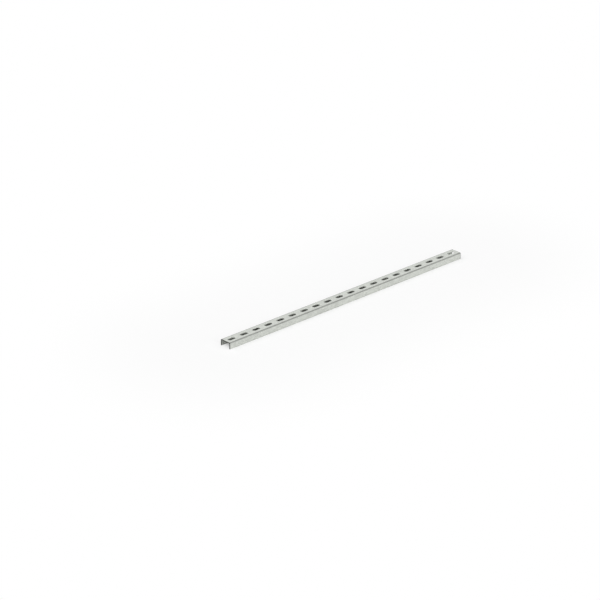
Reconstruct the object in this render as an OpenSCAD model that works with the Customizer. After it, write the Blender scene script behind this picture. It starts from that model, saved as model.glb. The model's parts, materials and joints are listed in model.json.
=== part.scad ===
// Perforated strut channel: a plain U section cold rolled from galvanised steel strip,
// with one row of obround slots punched along its web.
// It lies on its two flange edges with the slotted web on top.
// X runs along the channel, Y across it and Z up.
// The origin is midway along and across the channel, level with the flange edges.

/* [Section] */
// Overall width across the outer faces of the two flanges
channel_w = 41; // [34:0.5:82]
// Overall height from the flange edges to the outer face of the web
channel_h = 21; // [14:0.5:82]
// Thickness of the steel strip
strip_t = 2.5; // [1:0.1:4]
// Radius inside the two bends
bend_inner_r = 1; // [0.5:0.1:4]

/* [Length] */
// Length of the piece as it is cut for sale
channel_l = 1000; // [200:50:6000]

/* [Slots] */
// Overall length of a slot along the channel
slot_l = 28; // [18:0.5:34]
// Width of a slot across the web
slot_w = 14; // [7:0.5:16]
// Distance between the centres of two neighbouring slots
slot_pitch = 50; // [40:1:100]
// Distance from the cut end to the centre of the first slot
end_to_slot = 25; // [20:0.5:45]

/* [Hidden] */
zinc_grey = [0.80, 0.81, 0.79];
// Sides of a full circle in the bends and the slot ends
arc_sides = 96;
// The strip bends without thinning, so the outer radius follows the inner one
bend_outer_r = bend_inner_r + strip_t;
// Straight stretch between the two round ends of a slot
slot_straight = slot_l - slot_w;
// How far a cut runs past the faces that it opens
overcut = strip_t;
// The row goes on while its last slot leaves steel as wide as the strip is thick before the other end
row_l = channel_l - end_to_slot - slot_l / 2 - strip_t;
slot_count = 1 + floor(row_l / slot_pitch);

// Block outline that stands on Y = 0, with its two upper corners rounded
module rounded_block(w, h, r) {
    translate([-w / 2, 0])
        square([w, h - r]);
    translate([r - w / 2, 0])
        square([w - 2 * r, h]);
    for (side = [-1, 1])
        translate([side * (w / 2 - r), h - r])
            circle(r = r, $fn = arc_sides);
}

// U section of even thickness, open at the bottom
module channel_section() {
    difference() {
        rounded_block(channel_w, channel_h, bend_outer_r);
        translate([0, -overcut])
            rounded_block(
                channel_w - 2 * strip_t,
                channel_h - strip_t + overcut,
                bend_inner_r
            );
    }
}

// Obround outline of one slot, centred, with its length along X
module slot_outline() {
    square([slot_straight, slot_w], center = true);
    for (end = [-1, 1])
        translate([end * slot_straight / 2, 0])
            circle(d = slot_w, $fn = arc_sides);
}

// Punches for the whole row, each passing right through the web
module slot_row() {
    for (i = [0 : slot_count - 1])
        translate([
            end_to_slot + i * slot_pitch - channel_l / 2,
            0,
            channel_h - strip_t - overcut
        ])
            linear_extrude(height = strip_t + 2 * overcut)
                slot_outline();
}

module channel() {
    color(zinc_grey)
        difference() {
            translate([-channel_l / 2, 0, 0])
                rotate([90, 0, 90])
                    linear_extrude(height = channel_l)
                        channel_section();
            slot_row();
        }
}

channel();
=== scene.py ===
"""Looks of a perforated strut channel: its punched and rolled strip, zinc, cut ends and stage."""

import json
import math
from itertools import accumulate, pairwise

import bmesh
import bpy
from bpy.props import FloatProperty, FloatVectorProperty, IntProperty, PointerProperty
from bpy.types import Operator, Panel, PropertyGroup
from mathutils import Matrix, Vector


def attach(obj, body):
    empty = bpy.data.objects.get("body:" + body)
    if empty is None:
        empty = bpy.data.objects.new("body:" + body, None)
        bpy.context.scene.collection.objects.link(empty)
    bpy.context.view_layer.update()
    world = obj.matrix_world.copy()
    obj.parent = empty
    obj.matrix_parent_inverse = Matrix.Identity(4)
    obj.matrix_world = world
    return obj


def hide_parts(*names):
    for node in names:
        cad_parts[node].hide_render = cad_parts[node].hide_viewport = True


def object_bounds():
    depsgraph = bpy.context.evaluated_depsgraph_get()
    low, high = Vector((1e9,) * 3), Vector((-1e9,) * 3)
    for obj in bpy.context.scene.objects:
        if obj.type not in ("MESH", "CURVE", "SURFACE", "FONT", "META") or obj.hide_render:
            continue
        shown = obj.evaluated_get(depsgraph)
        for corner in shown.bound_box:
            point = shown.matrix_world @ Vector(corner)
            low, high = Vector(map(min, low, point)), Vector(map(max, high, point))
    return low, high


bl_info = {
    "name": "Perforated Strut Channel",
    "version": (1, 0, 0),
    "blender": (4, 5, 0),
    "location": "View3D > Sidebar > Strut",
    "description": "Makes a slotted U channel of galvanised strip and a plain studio round it",
    "category": "Add Mesh",
}

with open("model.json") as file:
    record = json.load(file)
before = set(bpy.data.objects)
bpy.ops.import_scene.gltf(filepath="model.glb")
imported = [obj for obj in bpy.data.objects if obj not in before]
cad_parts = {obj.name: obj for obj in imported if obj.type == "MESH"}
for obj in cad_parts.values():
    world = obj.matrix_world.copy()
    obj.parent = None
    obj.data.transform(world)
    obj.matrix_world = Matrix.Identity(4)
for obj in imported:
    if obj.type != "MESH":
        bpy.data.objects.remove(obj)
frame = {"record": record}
CAD_LOW, CAD_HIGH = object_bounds()
CAD_SIZE = CAD_HIGH - CAD_LOW

MM = 0.001
NODE = "channel"
BODY = "root"
COAT = frame["record"]["materials"][0]
MOUNTS = {mount["name"]: mount for mount in frame["record"]["mounts"]}
FIRST_SLOTS = MOUNTS["slots_1_and_2"]
SLOT = FIRST_SLOTS["dims"]
PITCH = SLOT["spacing_x_mm"] * MM
# The mount of the first two slots is midway between them
FIRST_SLOT = FIRST_SLOTS["pos_m"][0] - PITCH / 2 - CAD_LOW.x
# The mount on a slit edge is in the middle of the strip's thickness
STRIP = 2 * (CAD_HIGH.y - MOUNTS["far_flange_edge"]["pos_m"][1])

# Most of a noise lies between these levels
NOISE_LOW = 0.35
NOISE_HIGH = 0.65
# Corners closer than this are one corner
WELD = 0.001 * MM
# Name of the texture map that the flat sheet lays out
FLAT_MAP = "OFBake"
# Places of the materials on the piece
ZINC = 0
WALL = 1
STEEL = 2
BLACK = (0.0, 0.0, 0.0, 1.0)
WHITE = (1.0, 1.0, 1.0, 1.0)


def length_setting(name, description, default):
    return FloatProperty(
        name=name, description=description, default=default, min=0.0, unit="LENGTH", precision=5
    )


def share_setting(name, description, default):
    return FloatProperty(
        name=name, description=description, default=default, min=0.0, max=1.0, subtype="FACTOR"
    )


def level_setting(name, description, default):
    return FloatProperty(name=name, description=description, default=default, min=0.0)


def angle_setting(name, description, degrees):
    return FloatProperty(
        name=name, description=description, default=math.radians(degrees), subtype="ANGLE"
    )


def colour_setting(name, description, default):
    return FloatVectorProperty(
        name=name, description=description, default=default, min=0.0, max=1.0, subtype="COLOR"
    )


def grain_setting(name, description, *millimetres):
    """Size of the lumps of a pattern along X, Y and Z."""
    return FloatVectorProperty(
        name=name,
        description=description,
        default=[length * MM for length in millimetres],
        precision=5,
        unit="LENGTH",
    )


def count_setting(name, description, default):
    return IntProperty(name=name, description=description, default=default, min=1)


class ChannelSizes(PropertyGroup):
    """Sizes of the rolled section and its row of slots."""

    length: length_setting("Length", "Length of the cut piece", CAD_SIZE.x)
    width: length_setting("Width", "Width across the two flanges", CAD_SIZE.y)
    height: length_setting("Height", "Height from the flange edges to the top of the web", CAD_SIZE.z)
    strip: length_setting("Strip", "Thickness of the steel strip", STRIP)
    bend: length_setting("Bend", "Radius inside the two bends", 1.0 * MM)
    slot_length: length_setting("Slot length", "Overall length of a slot", SLOT["slot_length_mm"] * MM)
    slot_width: length_setting("Slot width", "Width of a slot", 2 * SLOT["hole_r_mm"] * MM)
    pitch: length_setting("Pitch", "Distance between the centres of neighbouring slots", PITCH)
    first_slot: length_setting("First slot", "From the cut end to the first slot's centre", FIRST_SLOT)


class EdgeSizes(PropertyGroup):
    """Sizes of what the punch, the slitter and the cutting disc leave on the edges."""

    roll_over: length_setting("Roll-over", "Width of the drawn-in rim round a slot", 0.6 * MM)
    roll_depth: length_setting("Roll-over depth", "Depth of that rim", 0.35 * MM)
    land: length_setting("Land", "Depth at which the smooth shorn wall of a slot ends", 1.1 * MM)
    breakout: length_setting("Breakout", "How far the torn wall below the land widens", 0.12 * MM)
    burr: length_setting("Burr", "Size of the broken edge round a slot inside the web", 0.15 * MM)
    slit: length_setting("Slit edge", "Radius on the edges of the flanges", 0.4 * MM)
    cut: length_setting("Cut edge", "Radius on the edges of the cut ends", 0.25 * MM)


class MeshSteps(PropertyGroup):
    """How finely the channel is divided."""

    along: count_setting("Along", "Faces along one pitch", 18)
    across: count_setting("Across", "Faces across the flat of the web", 12)
    straight: count_setting("Straight", "Faces along the straight side of a slot", 6)
    bend: count_setting("Bend", "Faces round a bend", 8)
    flange: count_setting("Flange", "Faces down the flat of a flange", 4)
    corner: count_setting("Corner", "Faces round a small corner", 3)


class FinishTones(PropertyGroup):
    """Colours of the zinc and the cut steel, how far they stray, and the shade and light painted into
    them.
    """

    zinc: colour_setting("Zinc", "Colour of the zinc coat", COAT["base_color"])
    # The steel is near black partly from oxide and partly as painted shade of the end faces
    steel: colour_setting("Steel", "Colour of the bare steel on the cut ends", (0.04, 0.04, 0.039))
    contrast: share_setting("Contrast", "How far the zinc's tone strays from its colour", 0.22)
    stain: share_setting("Stain", "How far the steel's tone strays from its colour", 0.5)
    metal: share_setting("Metal", "How metallic the satin zinc and the steel are", 0.6)
    satin: share_setting("Satin", "Roughness of the satin zinc before its patterns", 0.36)
    matt: share_setting("Matt", "Roughness of the smooth wall of a slot", 0.55)
    ground: share_setting("Ground", "Roughness of the smoothest cut steel", 0.45)
    scuff_start: share_setting("Scuff start", "Level of noise at which a scuff begins to show", 0.64)
    scuff_full: share_setting("Scuff full", "Level of noise at which a scuff is brightest", 0.74)
    # Bend shade is painted shade: darker colour in the bends, standing in for their shading
    bend_painted_shade: share_setting("Bend shade", "How much darker the stretched zinc in a bend is", 0.5)
    # Inside shade is painted shade: darker colour inside the channel, where less light reaches
    inside_painted_shade: share_setting("Inside shade", "How much darker the dull zinc inside is", 0.2)
    # Slit shade is painted shade: darker colour along the flange edges, where they meet the floor
    slit_painted_shade: share_setting("Slit shade", "How much darker the thin zinc along a slit edge is", 0.25)
    # Rim shade is painted shade: darker colour round the rims of the slots
    rim_painted_shade: share_setting("Rim shade", "How much darker the thin zinc round a slot is", 0.1)
    cut_shade: share_setting("Cut shade", "How much darker the burnt zinc beside a cut is", 0.7)
    # Wall lift is painted light: paler colour on the slot walls, standing in for light on them
    wall_painted_light: share_setting("Wall lift", "How much paler the matt zinc in the slots is", 0.3)


class FinishGrain(PropertyGroup):
    """Sizes of the patterns in the zinc and the cut steel."""

    spangle: length_setting("Spangle", "Size of the zinc crystals", 8 * MM)
    ragged: length_setting("Ragged", "How far the edges of the crystals stray", 2.5 * MM)
    feather: length_setting("Feather", "About how far apart the lines in a crystal are", 0.5 * MM)
    streaks: grain_setting("Streaks", "Marks that the rolls leave", 240, 1.2, 1.2)
    bloom: grain_setting("Bloom", "Dull patches in the zinc", 60, 25, 25)
    scuffs: grain_setting("Scuffs", "Bright scuffs from handling", 40, 0.6, 0.6)
    crazing: grain_setting("Crazing", "Fine lines across the stretched zinc of a bend", 0.7, 8, 8)
    flame: grain_setting("Flame", "Lobes on the edge of the burnt zinc", 1.5, 1.5, 1.5)
    shear: grain_setting("Shear lines", "Upright lines on the wall of a slot", 0.4, 0.4, 8)
    tear: grain_setting("Tear", "Lumps on the torn part of that wall", 0.8, 0.8, 0.8)
    disc: grain_setting("Disc lines", "Lines that the cutting disc leaves", 6, 6, 0.4)
    stains: grain_setting("Stains", "Stains on the cut ends", 5, 5, 5)
    # The bend band is a band of painted shade along each bend
    bend_lead: length_setting("Bend lead", "How far the dull band of a bend reaches into the web", 2 * MM)
    bend_full: length_setting("Bend full", "How far past the web that band is at its darkest", 1 * MM)
    bend_tail: length_setting("Bend tail", "Length over which that band fades towards the flange", 2 * MM)
    # The slit band is a band of painted shade along the flange edges
    slit_band: length_setting("Slit band", "Width of the thin zinc along a slit edge", 2 * MM)
    # The rim band is a band of painted shade round each slot
    rim_band: length_setting("Rim band", "Width of the thin zinc round a slot", 1.5 * MM)
    burnt_band: length_setting("Burnt band", "Width of the burnt zinc beside a cut", 3 * MM)
    land_fade: length_setting("Land fade", "Depth over which the land turns into torn steel", 0.4 * MM)
    skin_fade: length_setting("Skin fade", "Depth over which the outer tone fades to the inner", STRIP / 4)
    zinc_relief: length_setting("Zinc relief", "Height of the patterns in the satin zinc", 0.01 * MM)
    edge_relief: length_setting("Edge relief", "Height of the lines on the cut faces", 0.015 * MM)


class StudioStage(PropertyGroup):
    """The floor, the light and the place of the camera."""

    floor: colour_setting("Floor", "Colour of the floor", (0.95, 0.95, 0.95))
    floor_side: length_setting("Floor side", "Side of the square floor", 24.0)
    floor_gap: length_setting("Floor gap", "Gap between the floor and the flange edges", 0.05 * MM)
    near_white: share_setting("Near white", "Share of plain white beside the channel", 0.35)
    foot_fade: length_setting("Foot fade", "Distance over which that white sets in", 15 * MM)
    far_start: length_setting("Far start", "Distance at which the floor begins to turn all white", 0.1)
    far_end: length_setting("Far end", "Distance at which the floor is all white", 0.6)
    # Mouth white is painted light: it whitens the floor's shadow in the near mouth only
    mouth_painted_light: share_setting("Mouth white", "Share of plain white in the near mouth", 0.75)
    mouth_depth: length_setting("Mouth depth", "How far into the mouth that white reaches", 30 * MM)
    mouth_reach: length_setting("Mouth reach", "How far out of the mouth that white reaches", 0.1)
    ambient: level_setting("Ambient", "Strength of the light from all round", 0.45)
    key: level_setting("Key", "Strength of the main lamp", 1.55)
    key_azimuth: angle_setting("Key azimuth", "Turn of the main lamp round the channel", 20)
    key_elevation: angle_setting("Key elevation", "Angle of the main lamp above the floor", 45)
    fill: level_setting("Fill", "Strength of the second lamp", 0.7)
    fill_azimuth: angle_setting("Fill azimuth", "Turn of the second lamp round the channel", -150)
    fill_elevation: angle_setting("Fill elevation", "Angle of the second lamp above the floor", 65)
    softness: angle_setting("Softness", "Angle that each lamp fills, seen from the channel", 70)
    azimuth: angle_setting("Azimuth", "Turn of the camera round the channel", -42.934)
    elevation: angle_setting("Elevation", "Angle of the camera above the floor", 24.547)
    distance: length_setting("Distance", "Distance of the camera from the channel", 8.3264)
    offset: FloatVectorProperty(
        name="Offset",
        description="How far the camera stands to the right of the channel's middle and above it",
        default=(-0.14098, 0.00114),
        size=2,
        unit="LENGTH",
    )
    lens: FloatProperty(
        name="Lens", description="Focal length of the camera", default=159.45, min=1.0, unit="CAMERA"
    )


class Wire:
    """A socket that takes part in sums, each of which adds a Math node."""

    def __init__(self, shader, socket):
        self.shader = shader
        self.socket = socket

    def __add__(self, other):
        return self.shader.math("ADD", self, other)

    def __sub__(self, other):
        return self.shader.math("SUBTRACT", self, other)

    def __rsub__(self, other):
        return self.shader.math("SUBTRACT", other, self)

    def __mul__(self, other):
        return self.shader.math("MULTIPLY", self, other)

    def __abs__(self):
        return self.shader.math("ABSOLUTE", self)

    __radd__ = __add__
    __rmul__ = __mul__


class Shader:
    """The nodes of one material or of the world, made from Python expressions."""

    # Places of the colours on a Mix node, which has sockets of the same names for every kind of data
    first_colour = 6
    second_colour = 7
    mixed_colour = 2

    def __init__(self, owner):
        owner.use_nodes = True
        self.tree = owner.node_tree
        self.tree.nodes.clear()

    def add(self, kind, settings=None, sockets=None):
        """Adds a node, sets what kind of sum or pattern it is, then fills or links its sockets."""
        node = self.tree.nodes.new("ShaderNode" + kind)
        for name, value in (settings or {}).items():
            setattr(node, name, value)
        for key, value in (sockets or {}).items():
            if isinstance(value, Wire):
                self.tree.links.new(value.socket, node.inputs[key])
            else:
                node.inputs[key].default_value = value
        return node

    def out(self, node, name=0):
        return Wire(self, node.outputs[name])

    def math(self, operation, *values):
        return self.out(self.add("Math", {"operation": operation}, dict(enumerate(values))))

    def vector(self, operation, *values):
        return self.add("VectorMath", {"operation": operation}, dict(enumerate(values)))

    def above_zero(self, value):
        return self.math("MAXIMUM", value, 0.0)

    def length(self, first, second):
        """Length of the slope over two lengths at right angles."""
        return self.math("SQRT", first * first + second * second)

    def ramp(self, value, low, high):
        """0 below low, 1 above high and a smooth step between them."""
        sockets = {"Value": value, "From Min": low, "From Max": high}
        return self.out(self.add("MapRange", {"interpolation_type": "SMOOTHSTEP"}, sockets), "Result")

    def mix(self, share, first, second):
        """A colour between two colours."""
        sockets = {"Factor": share, self.first_colour: first, self.second_colour: second}
        return self.out(self.add("Mix", {"data_type": "RGBA"}, sockets), self.mixed_colour)

    def place(self):
        """The place of a surface point in the channel's own frame, as a vector and as three numbers."""
        vector = self.out(self.add("TexCoord"), "Object")
        axes = self.add("SeparateXYZ", sockets={0: vector})
        return vector, [self.out(axes, i) for i in range(3)]

    def cloud(self, vector, grain, detail=2.0):
        """Noise from 0 to 1, whose lumps are about as large as grain along each axis."""
        stretched = self.out(self.vector("DIVIDE", vector, tuple(grain)))
        sockets = {"Vector": stretched, "Scale": 1.0, "Detail": detail}
        return self.out(self.add("TexNoise", sockets=sockets))

    def seen(self):
        """1 where the camera, a mirror or a clear body looks, and 0 where only soft light is gathered."""
        path = self.add("LightPath")
        camera = self.out(path, "Is Camera Ray")
        mirror = self.out(path, "Is Glossy Ray")
        clear = self.out(path, "Is Transmission Ray")
        return self.math("MAXIMUM", camera, self.math("MAXIMUM", mirror, clear))

    def show(self, surface, output="OutputMaterial"):
        self.add(output, sockets={"Surface": self.out(surface)})

    def principled(self, colour, metallic, roughness, height, relief):
        """A surface of that colour and gloss, on which a height of 1 stands out as far as relief."""
        bump = self.add("Bump", sockets={"Distance": relief, "Height": height})
        sockets = {
            "Base Color": colour,
            "Metallic": metallic,
            "Roughness": roughness,
            "Normal": self.out(bump),
        }
        self.show(self.add("BsdfPrincipled", sockets=sockets))


def scaled(colour, level):
    return tuple(c * level for c in colour) + (1.0,)


def spread(colour, share, level=1.0):
    """A darker and a lighter colour, that share to either side."""
    return scaled(colour, level * (1 - share)), scaled(colour, level * (1 + share))


def distances(points):
    """How far along a line of points each of them is."""
    return list(accumulate((math.dist(a, b) for a, b in pairwise(points)), initial=0.0))


def quarter_turn(count):
    """Angles from 0 to a right angle, in that many equal steps."""
    return [math.pi / 2 * i / count for i in range(count + 1)]


class Section:
    """The U section, as points (y, z) of its outer and inner faces."""

    def __init__(self, sizes, edges, steps):
        self.sizes = sizes
        self.edges = edges
        self.steps = steps
        self.bend_outer = sizes.bend + sizes.strip
        self.web_half = sizes.width / 2 - self.bend_outer
        self.bend_z = sizes.height - self.bend_outer

    def face_z(self, outer, inset=0.0):
        """Height of a face of the web, sunk that far into the steel."""
        if outer:
            return self.sizes.height - inset
        return self.sizes.height - self.sizes.strip + inset

    def arm(self, outer, inset=0.0):
        """A face of one bend and flange, from the web to the slit edge, sunk that far into the steel."""
        turn = 1 if outer else -1
        bend = self.bend_outer if outer else self.sizes.bend
        radius = bend - turn * inset
        corner = self.edges.slit
        corner_radius = corner - inset
        corner_y = self.web_half + bend - turn * corner
        points = []
        for angle in quarter_turn(self.steps.bend):
            y = self.web_half + radius * math.sin(angle)
            points.append((y, self.bend_z + radius * math.cos(angle)))
        for i in range(1, self.steps.flange + 1):
            z = self.bend_z + (corner - self.bend_z) * i / self.steps.flange
            points.append((self.web_half + radius, z))
        for angle in quarter_turn(self.steps.corner)[1:]:
            y = corner_y + turn * corner_radius * math.cos(angle)
            points.append((y, corner - corner_radius * math.sin(angle)))
        return points

    def reach(self, outer):
        """How far along the strip each point of an arm is from the middle of the web."""
        return [self.web_half + run for run in distances(self.arm(outer))]

    def slit(self, inset=0.0):
        """The flat of a slit edge, from the outer to the inner face."""
        return self.arm(True, inset)[-1], self.arm(False, inset)[-1]

    def slit_reach(self):
        """How far that flat is from the middle of the web, with the outer face laid flat."""
        start = self.reach(True)[-1]
        return start, start + math.dist(*self.slit())

    def flat(self):
        """Places across the flat of the web, without its two ends."""
        count = self.steps.across
        return [self.web_half * (2 * i / count - 1) for i in range(1, count)]

    def whole(self, outer, inset=0.0):
        """One face from slit edge to slit edge."""
        arm = self.arm(outer, inset)
        web_z = self.face_z(outer, inset)
        return [(-y, z) for y, z in reversed(arm)] + [(y, web_z) for y in self.flat()] + arm

    def whole_reach(self, outer):
        """How far each point of a whole face is from the middle of the web."""
        arm = self.reach(outer)
        return [-run for run in reversed(arm)] + self.flat() + arm


class FlatSheet:
    """Where each face lies when the channel is cut into rows of bays and laid flat: its texture map."""

    # Gap between neighbouring strips of the sheet
    gap = 2 * MM
    bays_in_row = 8

    def __init__(self, section, bays):
        self.bays = bays
        self.pitch = section.sizes.pitch
        self.strip = section.sizes.strip
        outer_width = 2 * section.slit_reach()[1]
        inner_width = 2 * section.reach(False)[-1]
        rows = range(math.ceil(2 * bays / self.bays_in_row))
        widths = [outer_width if row * self.bays_in_row < bays else inner_width for row in rows]
        tops = list(accumulate((width + self.gap for width in widths), initial=self.gap))
        self.middles = [top + width / 2 for top, width in zip(tops, widths)]
        # A row can hold both skins, with a gap before, between and after them
        self.row_end = self.bays_in_row * self.pitch + 3 * self.gap
        self.next_strip = (self.gap, tops[-1])

    def bay(self, bay, outer):
        """The middle of one bay. The inner skin starts in the row where the outer skin ends."""
        row, column = divmod(bay if outer else self.bays + bay, self.bays_in_row)
        start = self.gap if outer else 2 * self.gap
        return start + (column + 0.5) * self.pitch, self.middles[row]

    def edge(self, length):
        """The start of the next free strip, for an edge face of that length."""
        u, v = self.next_strip
        if u + length > self.row_end:
            u = self.gap
            v += self.strip + self.gap
        self.next_strip = (u + length + self.gap, v)
        return u, v

    def side(self):
        """Side of the square that holds the whole sheet."""
        return max(self.row_end + self.gap, self.next_strip[1] + self.strip + self.gap)


class ChannelMesh:
    """The channel's faces, bay by bay along the row of slots, each with its place on the flat sheet."""

    # Places of the rings of faces between the edge of a bay, 1, and the rim of its slot, 0
    rings = (1.0, 0.7, 0.4, 0.15)

    def __init__(self, section):
        self.section = section
        self.sizes = section.sizes
        self.edges = section.edges
        self.steps = section.steps
        row = self.sizes.length - self.sizes.first_slot - self.sizes.slot_length / 2
        self.bays = 1 + math.floor(row / self.sizes.pitch)
        self.sheet = FlatSheet(section, self.bays)
        self.mesh = bmesh.new()
        self.map = self.mesh.loops.layers.uv.new(FLAT_MAP)

    def patch(self, rows, flat_rows, material):
        """Faces between neighbouring rows of points, with the same rows laid flat."""
        grid = [[self.mesh.verts.new(point) for point in row] for row in rows]
        for (near, far), (flat_near, flat_far) in zip(pairwise(grid), pairwise(flat_rows)):
            for i in range(len(near) - 1):
                face = self.mesh.faces.new((near[i], near[i + 1], far[i + 1], far[i]))
                face.material_index = material
                face.smooth = True
                flats = flat_near[i], flat_near[i + 1], flat_far[i + 1], flat_far[i]
                for loop, flat in zip(face.loops, flats):
                    loop[self.map].uv = flat

    def middle(self, bay):
        return self.sizes.first_slot + bay * self.sizes.pitch - self.sizes.length / 2

    def stations(self, bay):
        """Places along one bay at which the faces meet. The end bays stop short of the cut edge."""
        cut = self.sizes.length / 2 - self.edges.cut
        low = -cut if bay == 0 else self.middle(bay) - self.sizes.pitch / 2
        high = cut if bay == self.bays - 1 else self.middle(bay) + self.sizes.pitch / 2
        return [low + (high - low) * i / self.steps.along for i in range(self.steps.along + 1)]

    def bay_outline(self, bay):
        """Points round the flat of one bay, in turn from its corner at low X and low Y."""
        stations = self.stations(bay)
        edge = self.section.web_half
        flat = self.section.flat()
        near = [(x, -edge) for x in stations] + [(stations[-1], y) for y in flat]
        far = [(x, edge) for x in reversed(stations)] + [(stations[0], y) for y in reversed(flat)]
        return near + far + near[:1]

    def slot_ring(self, bay, offset):
        """Points round a slot, that far outside its outline and in step with the outline of its bay."""
        radius = self.sizes.slot_width / 2 + offset
        straight = (self.sizes.slot_length - self.sizes.slot_width) / 2
        count = self.steps.straight
        # A round end faces one end of the bay and what the straight sides leave over of the bay's sides
        left_over = (self.steps.along - count) // 2
        arc = self.steps.across + 2 * left_over
        half = [(straight * (2 * i / count - 1), -radius) for i in range(count)]
        for i in range(arc):
            angle = math.pi * i / arc
            half.append((straight + radius * math.sin(angle), -radius * math.cos(angle)))
        ring = half + [(-x, -y) for x, y in half]
        ring = ring[-left_over:] + ring[:-left_over]
        return [(self.middle(bay) + x, y) for x, y in ring + ring[:1]]

    def rim(self, outer):
        """The rounded rim of a slot on one skin, as offsets from the slot's outline and heights."""
        start, width, depth = 0.0, self.edges.roll_over, self.edges.roll_depth
        if not outer:
            start, width, depth = self.edges.breakout, self.edges.burr, self.edges.burr
        points = []
        for angle in quarter_turn(self.steps.corner):
            sunk = depth * (1 - math.cos(angle))
            points.append((start + width * (1 - math.sin(angle)), self.section.face_z(outer, sunk)))
        return points

    def web_skin(self, bay, outer):
        """One skin of the web round one slot, from the edges of the bay into the rim of the slot."""
        rim = self.rim(outer)
        rim_start = [Vector(point) for point in self.slot_ring(bay, rim[0][0])]
        web_z = self.section.face_z(outer)
        rows = []
        for share in self.rings:
            pairs = zip(rim_start, self.bay_outline(bay), strict=True)
            rows.append([(*near.lerp(far, share), web_z) for near, far in pairs])
        for offset, z in rim:
            rows.append([(x, y, z) for x, y in self.slot_ring(bay, offset)])
        u, v = self.sheet.bay(bay, outer)
        flats = [[(u + x - self.middle(bay), v + y) for x, y, _ in row] for row in rows]
        self.patch(rows, flats, ZINC)

    def slot_wall(self, bay):
        """The wall of one slot: the smooth land below the drawn-in rim, then the torn steel."""
        land = (0.0, self.section.face_z(True, self.edges.land))
        wall = [self.rim(True)[-1], land, self.rim(False)[-1]]
        rows = [[(x, y, z) for x, y in self.slot_ring(bay, offset)] for offset, z in wall]
        run = distances(rows[0])
        u, v = self.sheet.edge(run[-1])
        flats = [[(u + r, v + self.sizes.height - z) for r in run] for _, z in wall]
        self.patch(rows, flats, WALL)

    def side_skin(self, bay, side, outer):
        """One skin of a bend and its flange along one bay."""
        self.side_patch(bay, side, outer, self.section.arm(outer), self.section.reach(outer))

    def slit_edge(self, bay, side):
        """The slit edge of one flange along one bay, which is laid flat beside the outer skin."""
        self.side_patch(bay, side, True, self.section.slit(), self.section.slit_reach())

    def side_patch(self, bay, side, outer, points, reach):
        """Faces along one bay, through points of the section on one side of it."""
        u, v = self.sheet.bay(bay, outer)
        stations = self.stations(bay)
        rows = [[(x, side * y, z) for y, z in points] for x in stations]
        flats = [[(u + x - self.middle(bay), v + side * r) for r in reach] for x in stations]
        self.patch(rows, flats, ZINC)

    def cut_end(self, end):
        """One end of the channel: its broken edges and its cut face."""
        bay = 0 if end < 0 else self.bays - 1
        half = self.sizes.length / 2
        radius = self.edges.cut
        rounds = []
        for angle in quarter_turn(self.steps.corner):
            rounds.append((half - radius * (1 - math.sin(angle)), radius * (1 - math.cos(angle))))
        run = [end * (x + inset) - self.middle(bay) for x, inset in rounds]
        for outer in (True, False):
            u, v = self.sheet.bay(bay, outer)
            rows = [[(end * x, y, z) for y, z in self.section.whole(outer, inset)] for x, inset in rounds]
            flats = [[(u + r, v + reach) for reach in self.section.whole_reach(outer)] for r in run]
            self.patch(rows, flats, STEEL)
        u, v = self.sheet.bay(bay, True)
        for side in (-1, 1):
            rows = [[(end * x, side * y, z) for y, z in self.section.slit(inset)] for x, inset in rounds]
            flats = [[(u + r, v + side * reach) for reach in self.section.slit_reach()] for r in run]
            self.patch(rows, flats, STEEL)
        faces = [self.section.whole(outer, radius) for outer in (True, False)]
        rows = [[(end * half, y, z) for y, z in face] for face in faces]
        reach = self.section.whole_reach(True)
        u, v = self.sheet.edge(reach[-1] - reach[0])
        flats = [[(u + r - reach[0], v + depth) for r in reach] for depth in (0.0, self.sizes.strip)]
        self.patch(rows, flats, STEEL)

    def finished(self, name):
        """All the faces, welded into one closed mesh with its map in the unit square."""
        for bay in range(self.bays):
            self.slot_wall(bay)
            for outer in (True, False):
                self.web_skin(bay, outer)
                self.side_skin(bay, -1, outer)
                self.side_skin(bay, 1, outer)
            self.slit_edge(bay, -1)
            self.slit_edge(bay, 1)
        self.cut_end(-1)
        self.cut_end(1)
        bmesh.ops.remove_doubles(self.mesh, verts=self.mesh.verts[:], dist=WELD)
        bmesh.ops.recalc_face_normals(self.mesh, faces=self.mesh.faces[:])
        side = self.sheet.side()
        for face in self.mesh.faces:
            for loop in face.loops:
                loop[self.map].uv /= side
        mesh = bpy.data.meshes.new(name)
        self.mesh.to_mesh(mesh)
        self.mesh.free()
        return mesh


def outside_slot(shader, sizes, along, across):
    """How far a point of the web lies outside the nearest slot."""
    first = sizes.first_slot - sizes.length / 2
    straight = (sizes.slot_length - sizes.slot_width) / 2
    from_middle = shader.math("PINGPONG", along - first, sizes.pitch / 2)
    return shader.length(shader.above_zero(from_middle - straight), across) - sizes.slot_width / 2


def outside_strip(shader, section, across, up):
    """How far a point lies outside the middle of the strip, negative on the inner half."""
    past_web = shader.above_zero(abs(across) - section.web_half)
    past_flange = shader.above_zero(up - section.bend_z)
    return shader.length(past_web, past_flange) - (section.sizes.bend + section.sizes.strip / 2)


def zinc_crystals(shader, grain, place):
    """The tone of each ragged crystal, and the fine lines in it that lean their own way."""
    density = 1 / grain.spangle
    wander = shader.add("TexNoise", sockets={"Vector": place, "Scale": 2 * density})
    ragged = shader.vector("MULTIPLY_ADD", shader.out(wander, "Color"), (grain.ragged,) * 3, place)
    sockets = {"Vector": shader.out(ragged), "Scale": density}
    facing = shader.out(shader.add("TexVoronoi", {"feature": "F1"}, sockets), "Color")
    leaning = shader.vector("SUBTRACT", facing, (0.5, 0.5, 0.5))
    lie = shader.out(shader.vector("DOT_PRODUCT", shader.out(leaning), place), "Value")
    lines = shader.add("TexNoise", {"noise_dimensions": "1D"}, {"W": lie, "Scale": 1 / grain.feather})
    return shader.out(shader.add("SeparateColor", sockets={0: facing})), shader.out(lines)


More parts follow.
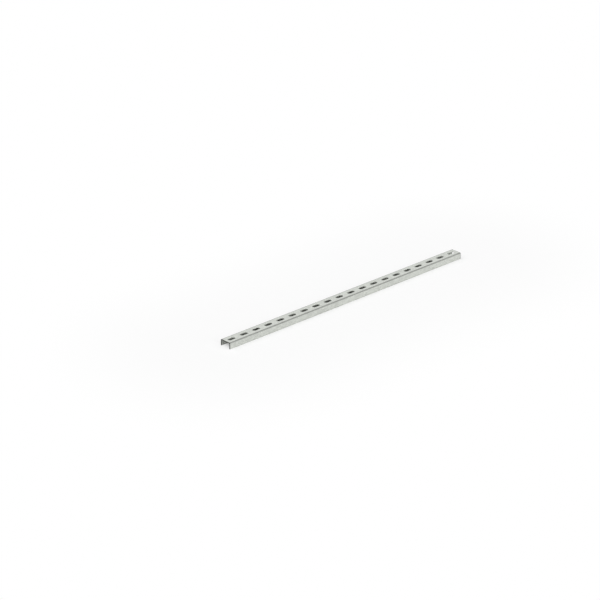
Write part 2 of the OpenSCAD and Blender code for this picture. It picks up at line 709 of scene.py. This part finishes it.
def rough_and_shaded_places(shader, section, grain, axes):
    """Where shade is painted into the zinc's colour: in the bends, inside, round the slots and along the
    slit edges. The bends and the inside are also rougher.
    """
    along, across, up = axes
    web, flange = section.web_half, section.bend_z
    # The bends, darkened with painted shade and made rougher
    bend = shader.ramp(abs(across), web - grain.bend_lead, web + grain.bend_full)
    bend = bend * shader.ramp(up, flange, flange + grain.bend_tail)
    outside = outside_strip(shader, section, across, up)
    # Inside the channel, darkened with painted shade and made rougher
    inside = 1 - shader.ramp(outside, -grain.skin_fade / 2, grain.skin_fade / 2)
    # Round the slots, darkened with painted shade
    rim = 1 - shader.ramp(outside_slot(shader, section.sizes, along, across), 0.0, grain.rim_band)
    # Along the flange edges at the floor, darkened with painted shade
    slit = 1 - shader.ramp(up, 0.0, grain.slit_band)
    return bend, inside, rim, slit


def burnt_places(shader, section, grain, place, along):
    """Where the cutting disc burnt the zinc: a band with a lobed edge beside each cut."""
    flame = shader.cloud(place, grain.flame, detail=3.0)
    to_cut = section.sizes.length / 2 - abs(along) + grain.burnt_band * (flame - 0.5)
    return 1 - shader.ramp(to_cut, 0.0, grain.burnt_band)


def galvanised_zinc(section, tones, grain):
    """Satin zinc with feathered crystals and scuffs, rougher in the bends and inside, with painted shade
    in the bends, round the slots, along the slit edges and inside.
    """
    material = bpy.data.materials.new("galvanised_zinc")
    shader = Shader(material)
    place, axes = shader.place()
    crystal, feather = zinc_crystals(shader, grain, place)
    streak = shader.cloud(place, grain.streaks)
    bloom = shader.cloud(place, grain.bloom, detail=4.0)
    scuff = shader.cloud(place, grain.scuffs, detail=3.0)
    scuff = shader.ramp(scuff, tones.scuff_start, tones.scuff_full)
    craze = shader.cloud(place, grain.crazing)
    bend, inside, rim, slit = rough_and_shaded_places(shader, section, grain, axes)
    burnt = burnt_places(shader, section, grain, place, axes[0])

    tone = 0.35 * crystal + 0.4 * feather + 0.15 * streak + 0.1 * bloom + 0.2 * scuff
    coat = shader.mix(tone, *spread(tones.zinc, tones.contrast))
    # Painted shade: the colour is darkened in the bends, inside, round the slots and along the slit edges
    painted_shade = tones.bend_painted_shade * bend * (0.75 + 0.5 * craze) + tones.inside_painted_shade * inside
    painted_shade = painted_shade + tones.rim_painted_shade * rim + tones.slit_painted_shade * slit
    bright = (1 - painted_shade) * (1 - tones.cut_shade * burnt)
    roughness = tones.satin + 0.12 * bloom + 0.1 * crystal + 0.1 * bend + 0.1 * inside - 0.08 * scuff
    height = 0.4 * crystal + 0.2 * feather + 0.4 * streak + bend * craze - 0.5 * scuff
    shader.principled(
        colour=shader.mix(bright, BLACK, coat),
        metallic=tones.metal,
        roughness=roughness,
        height=height,
        relief=grain.zinc_relief,
    )
    return material


def matt_zinc(section, tones, grain):
    """Matt zinc on the punched walls, made paler by painted light, with upright shear lines and a torn
    lower half.
    """
    material = bpy.data.materials.new("matt_zinc")
    shader = Shader(material)
    place, (_, _, up) = shader.place()
    lines = shader.cloud(place, grain.shear)
    lumps = shader.cloud(place, grain.tear)
    land_z = section.face_z(True, section.edges.land)
    torn = 1 - shader.ramp(up, land_z - grain.land_fade / 2, land_z + grain.land_fade / 2)

    tone = 0.6 * lines + 0.4 * lumps - 0.25 * torn
    shader.principled(
        # Painted light: the wall colour is lifted above the zinc's
        colour=shader.mix(tone, *spread(tones.zinc, tones.contrast, 1 + tones.wall_painted_light)),
        metallic=0.0,
        roughness=tones.matt + 0.2 * torn,
        height=lines + torn * lumps,
        relief=grain.edge_relief,
    )
    return material


def cut_steel(tones, grain):
    """Bare steel on the cut ends, dark partly from oxide and partly as painted shade of the end faces,
    with the fine lines of the cutting disc and stains.
    """
    material = bpy.data.materials.new("cut_steel")
    shader = Shader(material)
    place, _ = shader.place()
    lines = shader.cloud(place, grain.disc)
    stain = shader.cloud(place, grain.stains, detail=3.0)

    tone = shader.ramp(0.6 * lines + 0.4 * stain, NOISE_LOW, NOISE_HIGH)
    shader.principled(
        colour=shader.mix(tone, *spread(tones.steel, tones.stain)),
        metallic=tones.metal,
        roughness=tones.ground + 0.2 * stain,
        height=lines,
        relief=grain.edge_relief,
    )
    return material


def pale_floor(studio):
    """White floor that keeps the shade under and round the channel and fades into the white surround, with
    light painted into the shadow in the near mouth.
    """
    material = bpy.data.materials.new("pale_floor")
    shader = Shader(material)
    _, (along, across, _) = shader.place()
    past_end = shader.above_zero(abs(along) - CAD_HIGH.x)
    past_side = shader.above_zero(abs(across) - CAD_HIGH.y)
    away = shader.length(past_end, past_side)
    near = shader.ramp(away, 0.0, studio.foot_fade)
    far = shader.ramp(away, studio.far_start, studio.far_end)
    around = near * (studio.near_white + (1 - studio.near_white) * far)
    # Painted light: the shadow on the floor in the near mouth is whitened
    mouth = 1 - shader.ramp(along, CAD_LOW.x, CAD_LOW.x + studio.mouth_depth)
    mouth = mouth * (1 - shader.ramp(away, 0.0, studio.mouth_reach))
    share = shader.seen() * shader.math("MAXIMUM", around, mouth * studio.mouth_painted_light)
    plain = shader.add("BsdfDiffuse", sockets={"Color": scaled(studio.floor, 1.0)})
    white = shader.add("Emission", sockets={"Color": WHITE, "Strength": 1.0})
    shader.show(shader.add("MixShader", sockets={0: share, 1: shader.out(plain), 2: shader.out(white)}))
    return material


def white_surround(studio):
    """White wherever it is looked at, and a soft light of the ambient strength."""
    world = bpy.data.worlds.new("white_surround")
    shader = Shader(world)
    strength = studio.ambient + (1 - studio.ambient) * shader.seen()
    shader.show(shader.add("Background", sockets={"Color": WHITE, "Strength": strength}), "OutputWorld")
    return world


def link(name, data):
    piece = bpy.data.objects.new(name, data)
    bpy.context.scene.collection.objects.link(piece)
    return piece


def square_floor(studio):
    """A square floor, just below the flange edges."""
    half = studio.floor_side / 2
    corners = [(-half, -half, 0), (half, -half, 0), (half, half, 0), (-half, half, 0)]
    mesh = bpy.data.meshes.new("floor")
    mesh.from_pydata(corners, [], [(0, 1, 2, 3)])
    mesh.materials.append(pale_floor(studio))
    floor = link("floor", mesh)
    floor.location.z = CAD_LOW.z - studio.floor_gap
    return floor


def towards(azimuth, elevation):
    """The direction from the channel towards a viewer or a lamp. Azimuth 0 looks along +Y."""
    level = math.cos(elevation)
    return Vector((math.sin(azimuth) * level, -math.cos(azimuth) * level, math.sin(elevation)))


def soft_lamp(name, strength, direction, softness):
    """A broad lamp whose own shape the metal doesn't mirror."""
    data = bpy.data.lights.new(name, "SUN")
    data.energy = strength
    data.angle = softness
    lamp = link(name, data)
    lamp.rotation_euler = direction.to_track_quat("Z", "Y").to_euler()
    lamp.visible_glossy = False


def photo_camera(studio):
    """A camera that sees the channel as the photo does."""
    back = towards(studio.azimuth, studio.elevation)
    turn = back.to_track_quat("Z", "Y")
    right = turn @ Vector((1, 0, 0))
    above = turn @ Vector((0, 1, 0))
    data = bpy.data.cameras.new("camera")
    data.lens = studio.lens
    data.clip_end = studio.distance + studio.floor_side
    camera = link("camera", data)
    camera.location = back * studio.distance + right * studio.offset[0] + above * studio.offset[1]
    camera.rotation_euler = turn.to_euler()
    return camera


class STRUT_OT_make_channel(Operator):
    """Makes the punched and rolled channel with its zinc coat and bare cut ends"""

    bl_idname = "strut.make_channel"
    bl_label = "Make Channel"

    def execute(self, context):
        scene = context.scene
        tones, grain = scene.strut_tones, scene.strut_grain
        section = Section(scene.strut_sizes, scene.strut_edges, scene.strut_steps)
        mesh = ChannelMesh(section).finished("strut_channel")
        mesh.materials.append(galvanised_zinc(section, tones, grain))
        mesh.materials.append(matt_zinc(section, tones, grain))
        mesh.materials.append(cut_steel(tones, grain))
        piece = link("strut_channel", mesh)
        piece.modifiers.new("flat_faces", "WEIGHTED_NORMAL")
        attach(piece, BODY)
        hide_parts(NODE)
        return {"FINISHED"}


class STRUT_OT_make_stage(Operator):
    """Makes the floor, the soft light and the camera"""

    bl_idname = "strut.make_stage"
    bl_label = "Make Stage"

    def execute(self, context):
        scene = context.scene
        studio = scene.strut_studio
        floor = square_floor(studio)
        scene.world = white_surround(studio)
        key_side = towards(studio.key_azimuth, studio.key_elevation)
        soft_lamp("key", studio.key, key_side, studio.softness)
        fill_side = towards(studio.fill_azimuth, studio.fill_elevation)
        soft_lamp("fill", studio.fill, fill_side, studio.softness)
        scene.camera = photo_camera(studio)
        scene.view_settings.view_transform = "Standard"
        return {"FINISHED"}


class STRUT_PT_sidebar(Panel):
    """Lists the settings and what they make"""

    bl_idname = "STRUT_PT_sidebar"
    bl_label = "Strut Channel"
    bl_space_type = "VIEW_3D"
    bl_region_type = "UI"
    bl_category = "Strut"

    def draw(self, context):
        for name, group in SETTINGS.items():
            box = self.layout.box()
            box.label(text=group.__doc__)
            for setting in group.__annotations__:
                box.prop(getattr(context.scene, name), setting)
        for operator in OPERATORS:
            self.layout.operator(operator.bl_idname)


SETTINGS = {
    "strut_sizes": ChannelSizes,
    "strut_edges": EdgeSizes,
    "strut_steps": MeshSteps,
    "strut_tones": FinishTones,
    "strut_grain": FinishGrain,
    "strut_studio": StudioStage,
}
OPERATORS = (STRUT_OT_make_channel, STRUT_OT_make_stage)
CLASSES = (*SETTINGS.values(), *OPERATORS, STRUT_PT_sidebar)


def register():
    for item in CLASSES:
        bpy.utils.register_class(item)
    for name, group in SETTINGS.items():
        setattr(bpy.types.Scene, name, PointerProperty(type=group))


def unregister():
    for name in SETTINGS:
        delattr(bpy.types.Scene, name)
    for item in reversed(CLASSES):
        bpy.utils.unregister_class(item)


def main():
    register()
    bpy.ops.strut.make_channel()
    bpy.ops.strut.make_stage()


if __name__ == "__main__":
    main()
